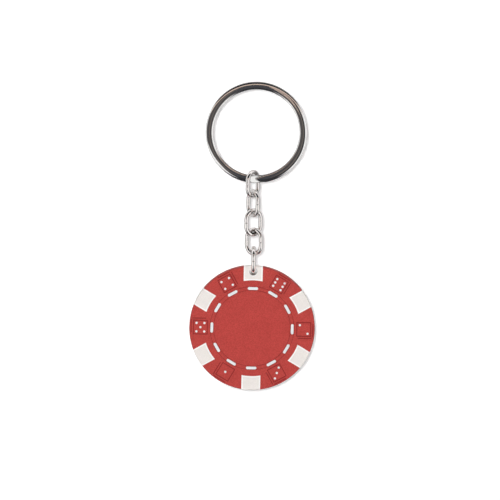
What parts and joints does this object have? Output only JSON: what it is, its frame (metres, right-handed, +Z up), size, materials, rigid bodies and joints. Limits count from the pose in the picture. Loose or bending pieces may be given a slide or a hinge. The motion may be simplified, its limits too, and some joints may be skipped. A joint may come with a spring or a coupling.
{
  "type": "poker chip key ring",
  "caption": "Key ring with a red and white dice poker chip, weighted inside, hanging by a hole at its rim from a short chain of oval links on a split ring.",
  "frame": {"origin": "middle of the split ring, where it is hung up or held", "axes": "+Z up along the hanging chain, +X to the right, +Y away from the viewer, so the chip's front face looks to -Y"},
  "size_m": [0.04, 0.0068, 0.0985],
  "materials": {
    "ring_steel": "polished nickel plate",
    "chain_steel": "polished nickel plate",
    "red_plastic": "fine matt grain",
    "insert_plastic": "warm white, satin",
    "mark_plastic": "white, satin",
    "slug_steel": "plain stamped"
  },
  "bodies": {
    "split_ring": {"split_ring": "ring_steel"},
    "chain_link_1": {"chain_link_1": "chain_steel"},
    "chain_link_2": {"chain_link_2": "chain_steel"},
    "chain_link_3": {"chain_link_3": "chain_steel"},
    "chain_link_4": {"chain_link_4": "chain_steel"},
    "chip_link": {"chip_link": "chain_steel"},
    "chip": {"front_half": "red_plastic", "rear_half": "red_plastic", "weight_slug": "slug_steel", "edge_insert_1": "insert_plastic", "edge_insert_2": "insert_plastic", "edge_insert_3": "insert_plastic", "edge_insert_4": "insert_plastic", "edge_insert_5": "insert_plastic", "edge_insert_6": "insert_plastic", "ring_dashes": "mark_plastic", "pips_one": "mark_plastic", "pips_two": "mark_plastic", "pips_three": "mark_plastic", "pips_four": "mark_plastic", "pips_five": "mark_plastic", "pips_six": "mark_plastic"}
  },
  "joints": [
    {"name": "chain_round_ring", "type": "hinge", "parent": "split_ring", "child": "chain_link_1", "pos_m": [0, 0, 0], "axis": [0, 1, 0], "continuous": true},
    {"name": "link_2_swing", "type": "hinge", "parent": "chain_link_1", "child": "chain_link_2", "pos_m": [-0.00075, 0, -0.0203], "axis": [0.5878, 0.809, 0], "range_deg": [-60, 60]},
    {"name": "link_3_swing", "type": "hinge", "parent": "chain_link_2", "child": "chain_link_3", "pos_m": [-0.00055, 0, -0.02642], "axis": [0.5446, -0.8387, 0], "range_deg": [-60, 60]},
    {"name": "link_4_swing", "type": "hinge", "parent": "chain_link_3", "child": "chain_link_4", "pos_m": [-0.0003, 0, -0.03254], "axis": [-0.8192, -0.5736, 0], "range_deg": [-60, 60]},
    {"name": "chip_link_swing", "type": "hinge", "parent": "chain_link_4", "child": "chip_link", "pos_m": [0, 0, -0.03866], "axis": [-1, 0, 0], "range_deg": [-40, 40]},
    {"name": "chip_swing", "type": "hinge", "parent": "chip_link", "child": "chip", "pos_m": [0, 0, -0.04426], "axis": [0, 1, 0], "range_deg": [-50, 50]}
  ]
}
